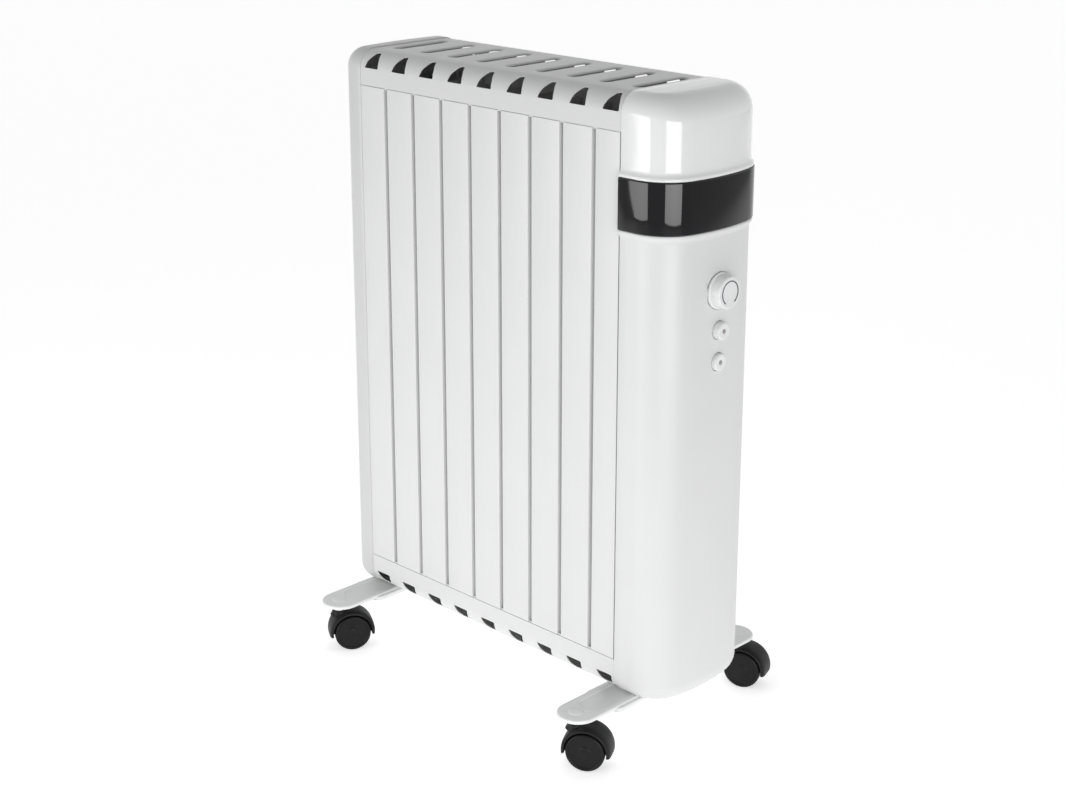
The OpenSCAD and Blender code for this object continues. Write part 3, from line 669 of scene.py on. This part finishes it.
def stadium(half_width, half_length, count=16):
    """Closed outline with round ends, lying along Y."""
    made = []
    for end in (-1, 1):
        for k in range(count + 1):
            a = math.pi * k / count
            y = half_length - half_width + half_width * math.sin(a)
            made.append((end * half_width * math.cos(a) * -1, end * y))
    return made


def panel(name, node, look, flip):
    """A vented top panel; flip mirrors it to the bottom."""
    shape = Shape()
    arc = PANEL_RADIUS * math.pi / 2
    start = PANEL_HIGH - PANEL_RADIUS
    x_low, x_high = SEAM_L - 0.0006, SEAM_R - GAP
    middle_z = (PANEL_HIGH + PANEL_LOW) / 2

    def placed(x, y, z):
        return Vector((x, y, 2 * middle_z - z if flip else z))

    # a vent's zone: half its width, and its ends up the curved corner from where the curve starts
    zone_half, zone_low, zone_high = 0.014, -0.002, 0.026
    vents = []
    columns = [[x_low], [x_high]]
    for i in range(FINS):
        x = ROW_X + (i + 0.5) * PITCH
        outline = []
        for dx, z in rounded_outline(VENT):
            up = (z * 0.001 - start) / PANEL_RADIUS
            outline.append(Vector((x + dx * 0.001, PANEL_RADIUS * math.asin(min(up, 1)))))
        centre = Vector((x, 0.0105))
        left, right = max(x - zone_half, x_low), min(x + zone_half, x_high)
        vents.append((left, right, zone_low, zone_high, tuple(centre), reach_to(outline, centre)))
        columns.append(steps(left, right, 0.0014))
    columns = joined(*columns)
    seam = -(start - SLAT_HIGH - 0.0006)
    rows = joined([seam], [-0.008], steps(zone_low, zone_high, 0.0014), [arc])
    for side in (-1, 1):

        def place(x, u):
            if u <= 0:
                return placed(x, side * CORE_HALF, start + u)
            a = min(u / PANEL_RADIUS, math.pi / 2)
            y = CORE_HALF - PANEL_RADIUS + PANEL_RADIUS * math.cos(a)
            return placed(x, side * y, start + PANEL_RADIUS * math.sin(a))

        holed(shape, columns, rows, vents, place)
        # stepped lip behind the slats' ends, so that no light passes through the seam
        seam_z = start + seam
        lip_y = CORE_HALF - 0.0013
        lip_rows = ((CORE_HALF, seam_z), (lip_y, seam_z), (lip_y, seam_z - 0.0016))
        shape.grid([[placed(x, side * y, z) for x in columns] for y, z in lip_rows])
    # flat face with the slots' footprints cut out
    flat = CORE_HALF - PANEL_RADIUS
    points = [(x, -flat) for x in columns] + [(x, flat) for x in reversed(columns)]
    edges = [(i, (i + 1) % len(points)) for i in range(len(points))]
    # each slot's rolled rim: its width and its depth
    rim, drop = 0.0035, 0.0017
    rim_half = SLOT_HALF_WIDTH + rim
    for i in range(FINS):
        x = ROW_X + (i + 0.5) * PITCH
        outline = [(x + px, py) for px, py in stadium(rim_half, SLOT_HALF_LENGTH + rim)]
        first = len(points)
        points += outline
        edges += [(first + k, first + (k + 1) % len(outline)) for k in range(len(outline))]
    spots, _, triangles, _, _, _ = delaunay_2d_cdt([Vector(p) for p in points], edges, [], 0, 0.000001)

    def in_slot(x, y):
        for i in range(FINS):
            dx = abs(x - (ROW_X + (i + 0.5) * PITCH))
            dy = max(abs(y) - (SLOT_HALF_LENGTH - SLOT_HALF_WIDTH), 0)
            if math.hypot(dx, dy) < rim_half - 0.0001:
                return True
        return False

    for triangle in triangles:
        x = sum(spots[i].x for i in triangle) / 3
        y = sum(spots[i].y for i in triangle) / 3
        if not in_slot(x, y):
            shape.face([placed(spots[i].x, spots[i].y, PANEL_HIGH) for i in triangle])
    for i in range(FINS):
        x = ROW_X + (i + 0.5) * PITCH
        rings = []
        for k in range(8):
            a = math.pi / 2 * k / 7
            out = rim * (1 - math.sin(a))
            rings.append((out, PANEL_HIGH - drop * (1 - math.cos(a))))
        rings.append((0, PANEL_HIGH - drop - 0.0003))
        loops = []
        for out, z in rings:
            outline = stadium(SLOT_HALF_WIDTH + out, SLOT_HALF_LENGTH + out)
            loops.append([placed(x + px, py, z) for px, py in outline])
        shape.grid(loops, close=True)
    shape.finish(name, look, "heater", [node], thick=SHEET)


# ---------- fins ----------


def slat_profile(x0, x1, lapped):
    """(x, depth) along a slat's folded sheet; a lapped one runs on behind the next slat."""
    left, right, foot_r = 0.0005, 0.0002, 0.0008
    made = [(x0, 0.0034), (x0, left)]
    for k in range(1, 5):
        a = math.pi / 2 * k / 4
        made.append((x0 + left * (1 - math.cos(a)), left * (1 - math.sin(a))))
    for k in range(0, 5):
        a = math.pi / 2 * k / 4
        made.append((x1 - right + right * math.sin(a), right * (1 - math.cos(a))))
    if lapped:
        for k in range(0, 5):
            a = math.pi / 2 * k / 4
            made.append((x1 + foot_r * (1 - math.cos(a)), 0.0038 + foot_r * math.sin(a)))
        made.append((x1 + 0.0072, 0.0046))
    else:
        made.append((x1, 0.0032))
    return made


def fin(i):
    """One fin: two slats, a web pressed into oil channels, and its stretch of both galleries."""
    shape = Shape()
    x = ROW_X + (i - 0.5) * PITCH
    # the first slat's edge is tucked behind the left cover's rim; the last stops short of the housing
    x0 = max(x - PITCH / 2 + 0.0025, SEAM_L - 0.0006)
    x1 = min(x + PITCH / 2 - 0.0021, SEAM_R - 0.0021)
    profile = slat_profile(x0, x1, i < FINS)
    for side in (-1, 1):
        outer_row = [(px, side * (CORE_HALF - depth)) for px, depth in profile]
        # the sheet's inner face, 0.6 mm in from the outer one
        inner_row = []
        for k, (px, py) in enumerate(outer_row):
            a = outer_row[max(k - 1, 0)]
            b = outer_row[min(k + 1, len(outer_row) - 1)]
            run = Vector((b[0] - a[0], b[1] - a[1])).normalized()
            way = Vector((-run.y, run.x)) * (-side)
            inner_row.append((px + way.x * 0.0006, py + way.y * 0.0006))
        loop = outer_row + inner_row[::-1]
        rows = [[Vector((px, py, z)) for px, py in loop] for z in (SLAT_LOW, SLAT_HIGH)]
        shape.grid(rows, close=True)
        count = len(outer_row)
        for row in rows:
            for k in range(count - 1):
                shape.face([row[k], row[k + 1], row[len(row) - 2 - k], row[len(row) - 1 - k]])
    # web with three channels
    web_low, web_high = SLAT_LOW + 0.006, SLAT_HIGH - 0.006
    gallery_low, gallery_high = SLAT_LOW + 0.035, SLAT_HIGH - 0.035
    ys = steps(-CORE_HALF + 0.0005, CORE_HALF - 0.0005, 0.0022)
    heights = joined(
        [web_low],
        steps(gallery_low - 0.022, gallery_low, 0.004),
        steps(gallery_high, gallery_high + 0.022, 0.004),
        [web_high],
    )
    loops = []
    for z in heights:
        past = max(gallery_low - z, z - gallery_high, 0)
        swell = math.sqrt(max(1 - (past / 0.018) ** 2, 0))
        right, left = [], []
        for y in ys:
            near = min(abs(y - c) for c in (-0.034, 0, 0.034))
            half = 0.0004 + 0.0074 * swell * math.sqrt(max(1 - (near / 0.0115) ** 2, 0)) ** 1.3
            right.append(Vector((x + half, y, z)))
            left.append(Vector((x - half, y, z)))
        loops.append(right + left[::-1])
    shape.grid(loops, close=True)
    for loop in (loops[0], loops[-1]):
        size = len(ys)
        for k in range(size - 1):
            shape.face([loop[k], loop[k + 1], loop[2 * size - 2 - k], loop[2 * size - 1 - k]])
    half_gallery = [(0.0212, 0.004), (0.0228, 0.012), (0.023, 0.0185), (0.0222, 0.0199)]
    gallery = [(r, -along) for r, along in half_gallery[::-1]] + half_gallery
    for z in (gallery_low, gallery_high):
        shape.lathe(Vector((x, 0, z)), (1, 0, 0), gallery, 48)
    shape.finish(f"fin_sheet_{i}", enamel, "heater", [f"fin_{i}"], sharp=45)


# ---------- feet ----------


def foot(name, node):
    """A pressed foot: a rimmed sheet with a sunk channel, a wider skirt, and domes over the stems."""
    shape = Shape()
    x = middle(node).x
    top = COVER_LOW
    half = high(node).y

    def loop(inset, z):
        """The foot's outline, moved in."""
        outline = stadium(FOOT_HALF - inset, half - inset, 20)
        return [Vector((x + px, py, z)) for px, py in outline]

    def channel(half_width, half_length, z):
        """A loop around the sunk channel."""
        return [Vector((x + px, py, z)) for px, py in stadium(half_width, half_length, 20)]

    edge = 0.0016
    rings = [loop(0.0016, top - FOOT_RIM), loop(0.0002, top - FOOT_RIM), loop(0, top - 0.0032)]
    for k in range(7):
        a = math.pi / 2 * k / 6
        rings.append(loop(edge * (1 - math.cos(a)), top - edge * (1 - math.sin(a))))
    rings.append(channel(0.0150, CHANNEL_HALF + 0.0022, top))
    for k in range(1, 6):
        a = math.pi / 2 * k / 5
        run = 0.0012 * math.sin(a)
        rings.append(channel(0.0140 - run, CHANNEL_HALF + 0.0010 - run, top - 0.0006 * (1 - math.cos(a))))
    for k in range(1, 5):
        a = math.pi / 2 * k / 4
        run = 0.0008 * (1 - math.cos(a))
        rings.append(channel(0.0128 - run, CHANNEL_HALF - 0.0002 - run, top - 0.0006 - 0.0005 * math.sin(a)))
    shape.grid(rings, close=True)
    shape.face(rings[-1])
    under = [loop(0.0016, top - FOOT_RIM), loop(0.0018, top - 0.0019)]
    shape.grid(under, close=True)
    shape.face(under[-1])

    def block(inset, r, z):
        """The skirt's outline, moved in, with rounded corners."""
        half_width, half_length = ROOT_HALF_WIDTH - inset, ROOT_HALF - inset
        made = []
        for cx, cy, start in ((1, 1, 0), (-1, 1, 90), (-1, -1, 180), (1, -1, 270)):
            for k in range(7):
                a = math.radians(start + 15 * k)
                along, out = r * math.sin(a), r * math.cos(a)
                made.append(Vector((x + cx * (half_width - r) + out, cy * (half_length - r) + along, z)))
        return made

    skirt = [
        block(0.0016, 0.0064, top - FOOT_RIM),
        block(0.0016, 0.0064, top - 0.006),
        block(0, 0.008, top - 0.006),
        block(0, 0.008, top - 0.0032),
    ]
    for k in range(7):
        a = math.pi / 2 * k / 6
        run = 0.0022 * (1 - math.cos(a))
        skirt.append(block(run, 0.008 - run, top - 0.0032 + 0.0015 * math.sin(a)))
    skirt.append(block(0.0036, 0.0045, top - 0.0018))
    shape.grid(skirt, close=True)
    # a low dome over each stem and a boss around it: (radius, height above the foot's top)
    dome = (
        (0.0074, -0.0002),
        (0.0072, 0.0001),
        (0.0066, 0.0005),
        (0.0056, 0.0009),
        (0.0044, 0.00112),
        (0.002, 0.0012),
        (0.0001, 0.0012),
    )
    boss = ((0.0036, -0.0078), (0.0072, -0.0078), (0.0075, -0.0075), (0.0075, -0.0025), (0.0085, -0.0019))
    for side in (-1, 1):
        centre = Vector((x, -side * middle("stem_front_left").y, 0))
        shape.lathe(centre, (0, 0, 1), [(r, top + up) for r, up in dome], 48)
        shape.lathe(centre, (0, 0, 1), [(r, top + up) for r, up in boss], 40)
    shape.finish(name, foot_coat, "heater", [node], sharp=40)


# ---------- casters ----------


def caster_turn(corner):
    """The swivel angle that a caster stands at, from its wheel joint's axis."""
    for joint in frame["record"]["behaviour"]["joints"]:
        if joint["name"] == f"roll_{corner}_a":
            axis = joint["axis"]
            return math.atan2(-axis[0], axis[1])
    raise SystemExit(f"no roll joint for {corner}")


def caster(corner):
    """A hood on its stem and the two wheels under it."""
    stem = middle(f"stem_{corner}")
    turn = caster_turn(corner)
    along = Vector((math.cos(turn), math.sin(turn), 0))
    axle = Vector((-math.sin(turn), math.cos(turn), 0))
    hub = Vector((stem.x, stem.y, WHEEL_R)) + along * TRAIL
    up = Vector((0, 0, 1))
    shape = Shape()
    half = CASTER_HALF - 0.0008
    outer, lip, bore = 0.0242, 0.0228, 0.0206
    # (along the axle, radius): the hood's outside, then its inside around the middle web
    outside = [
        (0.004, outer),
        (half - 0.0045, outer - 0.0002),
        (half - 0.002, lip + 0.0007),
        (half - 0.0004, lip),
        (half, lip - 0.0006),
        (half, bore),
    ]
    inside = [(half - 0.0006, bore), (0.0052, bore), (0.005, bore - 0.0004), (0.005, 0.0062)]
    section = [(-y, r) for y, r in outside[::-1]] + outside
    section += inside + [(-y, r) for y, r in inside[::-1]]
    # height of the hood's lower ends from the axle: they are 15.5 mm above the ground
    tip = 0.0155 - WHEEL_R
    rows = []
    first = math.asin(tip / outer)
    for k in range(41):
        a = first + (math.pi - 2 * first) * k / 40
        row = []
        for y, r in section:
            spot = hub + along * (r * math.cos(a)) + up * max(r * math.sin(a), tip) + axle * y
            row.append(spot)
        rows.append(row)
    shape.grid(rows, close=True)
    shape.face(rows[0])
    shape.face(rows[-1])
    collar = [(0.0066, 0.0046), (0.0062, 0.005), (0.0026, 0.005)]
    shape.lathe(hub, axle, [(r, -y) for r, y in collar[::-1]] + collar, 40)
    socket_top = high(f"hood_{corner}").z
    socket = [
        (0.0098, 0.0375),
        (0.0084, 0.0400),
        (0.0077, 0.0416),
        (0.0075, socket_top - 0.0006),
        (0.0070, socket_top),
        (0.0036, socket_top),
    ]
    shape.lathe(Vector((stem.x, stem.y, 0)), (0, 0, 1), socket, 48)
    hood = f"hood_{corner}"
    shape.finish(f"hood_shell_{corner}", caster_black, f"caster_{corner}", [hood], sharp=42)
    inner, face = 0.0055, CASTER_HALF
    tyre = [
        (0.0182, inner),
        (0.0188, inner + 0.0004),
        (0.01895, inner + 0.0012),
        (0.019, inner + 0.003),
        (0.019, face - 0.0022),
        (0.0188, face - 0.0012),
        (0.0182, face - 0.0005),
        (0.0174, face - 0.0001),
    ]
    disc = [
        (0.0166, face),
        (0.0160, face - 0.0003),
        (0.0155, face - 0.0009),
        (0.0110, face - 0.0010),
        (0.0066, face - 0.0009),
        (0.0060, face - 0.0004),
        (0.0052, face - 0.0001),
        (0.0001, face - 0.0001),
    ]
    profile = [(0.0001, 0.0126), (0.0027, 0.0126), (0.0027, inner)] + tyre + disc
    for tag in ("a", "b"):
        node = f"wheel_{corner}_{tag}"
        out = 1 if (middle(node) - hub).dot(axle) > 0 else -1
        name = f"roller_{corner}_{tag}"
        wheel = Shape()
        wheel.lathe(hub, axle * out, profile, 72)
        wheel.finish(name, tread, name, [node], sharp=35)


# ---------- knob and buttons ----------


def knob():
    """A stepped dial and the open ring printed on its face."""
    centre = Vector((0, 0, KNOB_Z))
    back = low("thermostat_knob").x
    face = high("thermostat_knob").x - 0.0003
    shape = Shape()
    profile = [
        (0.0033, back),
        (0.0150, back),
        (0.0166, back + 0.0002),
        (KNOB_R, back + 0.0006),
        (KNOB_R, back + 0.0020),
        (0.0167, back + 0.0024),
        (0.0161, back + 0.0026),
        (0.0157, back + 0.0030),
    ]
    edge = 0.0018
    for k in range(8):
        a = math.pi / 2 * k / 7
        profile.append((0.0152 - edge * (1 - math.cos(a)), face - edge + edge * math.sin(a)))
    profile += [(0.0127, face - 0.0001), (0.0080, face - 0.0004), (0.0001, face - 0.0005)]
    shape.lathe(centre, (1, 0, 0), profile, 96)
    shape.finish("knob_dial", knob_white, "knob", ["thermostat_knob"], sharp=32)
    mark = Shape()
    ring = (
        (0.01025, face - 0.0004),
        (0.01025, face + 0.00005),
        (0.01135, face + 0.00010),
        (0.01135, face - 0.0004),
    )
    rows = []
    for k in range(61):
        a = math.radians(-90 + 35 + 290 * k / 60)
        rows.append([Vector((x, r * math.cos(a), KNOB_Z + r * math.sin(a))) for r, x in ring])
    mark.grid(rows, close=True)
    mark.face(rows[0])
    mark.face(rows[-1])
    mark.finish("dial_mark", mark_grey, "knob", ["knob_mark"], sharp=35)


def button(which, z, body):
    """A push cap with a small smoked lens in its middle."""
    centre = Vector((0, 0, z))
    node = f"{which}_button"
    face = high(node).x
    back = APEX - 0.006
    edge = 0.0016
    shape = Shape()
    profile = [(0.0025, back), (BUTTON_R, back), (BUTTON_R, face - edge - 0.0006)]
    for k in range(7):
        a = math.pi / 2 * k / 6
        rise = face - edge + edge * math.sin(a) - 0.0001
        profile.append((BUTTON_R - 0.0001 - edge * (1 - math.cos(a)), rise))
    profile += [(0.0045, face - 0.0003), (0.0026, face - 0.0004)]
    profile += [(0.0022, face - 0.0008), (0.0001, face - 0.0009)]
    shape.lathe(centre, (1, 0, 0), profile, 64)
    shape.finish(f"{which}_push_cap", knob_white, body, [node], sharp=32)
    lens = Shape()
    dome = [(0.0020, face - 0.0010), (0.0020, face - 0.0003), (0.0015, face - 0.0001), (0.0001, face)]
    lens.lathe(centre, (1, 0, 0), dome, 32)
    lens.finish(f"{which}_lens_dot", lens_dark, body, [f"{which}_lens"], sharp=45)


# ---------- build ----------

control_housing()
control_cap()
control_band()
left_cover()
panel("top_panel", "top_grille", top_panel_shaded_coat, flip=False)
panel("bottom_panel", "bottom_grille", enamel, flip=True)
for i in range(1, FINS + 1):
    fin(i)
foot("left_foot_pressing", "foot_left")
foot("right_foot_pressing", "foot_right")
for corner in CORNERS:
    caster(corner)
knob()
button("upper", UPPER_Z, "upper_push")
button("lower", LOWER_Z, "lower_push")

# ---------- camera ----------

camera_data = bpy.data.cameras.new("photo_camera")
camera_data.sensor_width = 36
camera_data.lens = 63.42
camera_data.shift_y = -0.08
camera = bpy.data.objects.new("photo_camera", camera_data)
camera.location = (1.2341, -1.2615, 0.9095)
camera.rotation_euler = (math.pi / 2 - 0.290, 0, 0.782)
scene.collection.objects.link(camera)
scene.camera = camera

# ---------- setting ----------


def softbox(name, azimuth, distance, width, height, centre_z, radiance):
    """Upright lamp; azimuth 0 stands in front of the slats and 90 in front of the controls."""
    lamp = bpy.data.lights.new(name, "AREA")
    lamp.shape = "RECTANGLE"
    lamp.size = width
    lamp.size_y = height
    lamp.energy = radiance * math.pi * width * height
    lamp.spread = math.radians(125)
    obj = bpy.data.objects.new(name, lamp)
    a = math.radians(azimuth)
    obj.location = (distance * math.sin(a), -distance * math.cos(a), centre_z)
    obj.rotation_euler = (math.pi / 2, 0, a)
    scene.collection.objects.link(obj)


softbox("softbox_left", azimuth=-14.9, distance=1.5, width=1.03, height=0.66, centre_z=0.36, radiance=1.9)
softbox("softbox_right", azimuth=62.5, distance=1.5, width=0.98, height=0.64, centre_z=0.35, radiance=2.3)

# the world is pale ahead of the camera and downwards, and darker overhead and behind the camera
world = bpy.data.worlds.new("studio")
scene.world = world
world.use_nodes = True
nodes = world.node_tree.nodes
links = world.node_tree.links
background = nodes["Background"]
place = nodes.new("ShaderNodeTexCoord")
dot = nodes.new("ShaderNodeVectorMath")
dot.operation = "DOT_PRODUCT"
dot.inputs[1].default_value = (-0.35, 0.36, -0.80)
links.new(place.outputs["Generated"], dot.inputs[0])
ramp = nodes.new("ShaderNodeValToRGB")
ramp.color_ramp.elements[0].position = 0.10
ramp.color_ramp.elements[0].color = (0.28, 0.28, 0.284, 1)
ramp.color_ramp.elements[1].position = 0.64
ramp.color_ramp.elements[1].color = (0.98, 0.98, 0.985, 1)
horizon = ramp.color_ramp.elements.new(0.25)
horizon.color = (0.52, 0.52, 0.524, 1)
shift = nodes.new("ShaderNodeMath")
shift.operation = "MULTIPLY_ADD"
shift.inputs[1].default_value = 0.5
shift.inputs[2].default_value = 0.5
links.new(dot.outputs["Value"], shift.inputs[0])
links.new(shift.outputs["Value"], ramp.inputs["Fac"])
links.new(ramp.outputs["Color"], background.inputs["Color"])

# the floor glows as painted light, pale at the object and beyond it, and is darker far to the sides and
# towards the camera as painted shade
floor_look = bpy.data.materials.new("pale_floor")
floor_look.use_nodes = True
floor_nodes = floor_look.node_tree.nodes
floor_links = floor_look.node_tree.links
floor_shader = floor_nodes["Principled BSDF"]
floor_place = floor_nodes.new("ShaderNodeTexCoord")
floor_along = floor_nodes.new("ShaderNodeVectorMath")
floor_along.operation = "DOT_PRODUCT"
floor_along.inputs[1].default_value = (-0.875, 0.8875, 0)
floor_far = floor_nodes.new("ShaderNodeVectorMath")
floor_far.operation = "LENGTH"
floor_off = floor_nodes.new("ShaderNodeMath")
floor_off.operation = "SUBTRACT"
floor_fade = floor_nodes.new("ShaderNodeMapRange")
floor_fade.interpolation_type = "SMOOTHSTEP"
floor_fade.inputs["From Min"].default_value = 0.9
floor_fade.inputs["From Max"].default_value = 2.2
floor_ramp = floor_nodes.new("ShaderNodeValToRGB")
floor_ramp.color_ramp.elements[0].color = (0.93, 0.93, 0.93, 1)
floor_ramp.color_ramp.elements[1].color = (0.52, 0.52, 0.524, 1)
floor_glow = floor_nodes.new("ShaderNodeValToRGB")
floor_glow.color_ramp.elements[0].color = (0.51, 0.51, 0.51, 1)
floor_glow.color_ramp.elements[1].color = (0.14, 0.14, 0.14, 1)
floor_links.new(floor_place.outputs["Object"], floor_along.inputs[0])
floor_links.new(floor_place.outputs["Object"], floor_far.inputs[0])
floor_links.new(floor_far.outputs["Value"], floor_off.inputs[0])
floor_links.new(floor_along.outputs["Value"], floor_off.inputs[1])
floor_links.new(floor_off.outputs["Value"], floor_fade.inputs["Value"])
floor_links.new(floor_fade.outputs["Result"], floor_glow.inputs["Fac"])
floor_links.new(floor_glow.outputs["Color"], floor_shader.inputs["Emission Color"])
floor_links.new(floor_fade.outputs["Result"], floor_ramp.inputs["Fac"])
floor_links.new(floor_ramp.outputs["Color"], floor_shader.inputs["Base Color"])
floor_shader.inputs["Roughness"].default_value = 0.7
floor_shader.inputs["Specular IOR Level"].default_value = 0.2
floor_shader.inputs["Emission Strength"].default_value = 1.0
floor_mesh = bpy.data.meshes.new("floor")
floor_bm = bmesh.new()
bmesh.ops.create_circle(floor_bm, cap_ends=True, radius=30, segments=96)
floor_bm.to_mesh(floor_mesh)
floor_bm.free()
floor_mesh.materials.append(floor_look)
floor = bpy.data.objects.new("floor", floor_mesh)
scene.collection.objects.link(floor)
scene.view_settings.view_transform = "Standard"
